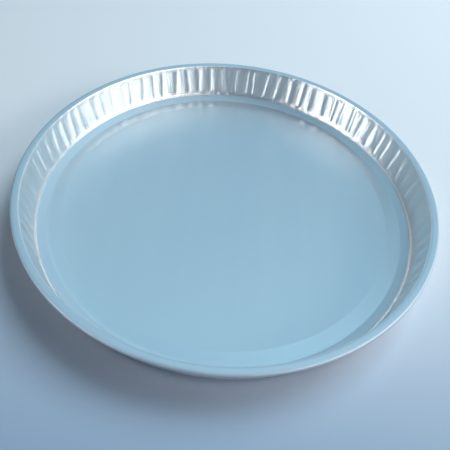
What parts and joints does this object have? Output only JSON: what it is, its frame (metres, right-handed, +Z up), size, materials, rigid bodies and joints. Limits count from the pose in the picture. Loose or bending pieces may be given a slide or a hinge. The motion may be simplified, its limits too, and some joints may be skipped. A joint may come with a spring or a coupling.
{
  "type": "weighing pan",
  "caption": "Shallow round weighing pan pressed from aluminium foil: finely fluted upright wall, flat flange with a curled edge, and a raised flat floor standing on a narrow ring.",
  "frame": {"origin": "centre of the narrow ring that the pan stands on, at table level", "axes": "+Z up, out of the open mouth; +X and +Y across the pan, which is the same all round"},
  "size_m": [0.09, 0.09, 0.0092],
  "materials": {
    "foil": "bright rolled foil with a fine rolling grain and a soft mirror sheen"
  },
  "bodies": {
    "root": {"weighing_pan": "foil"}
  },
  "joints": []
}
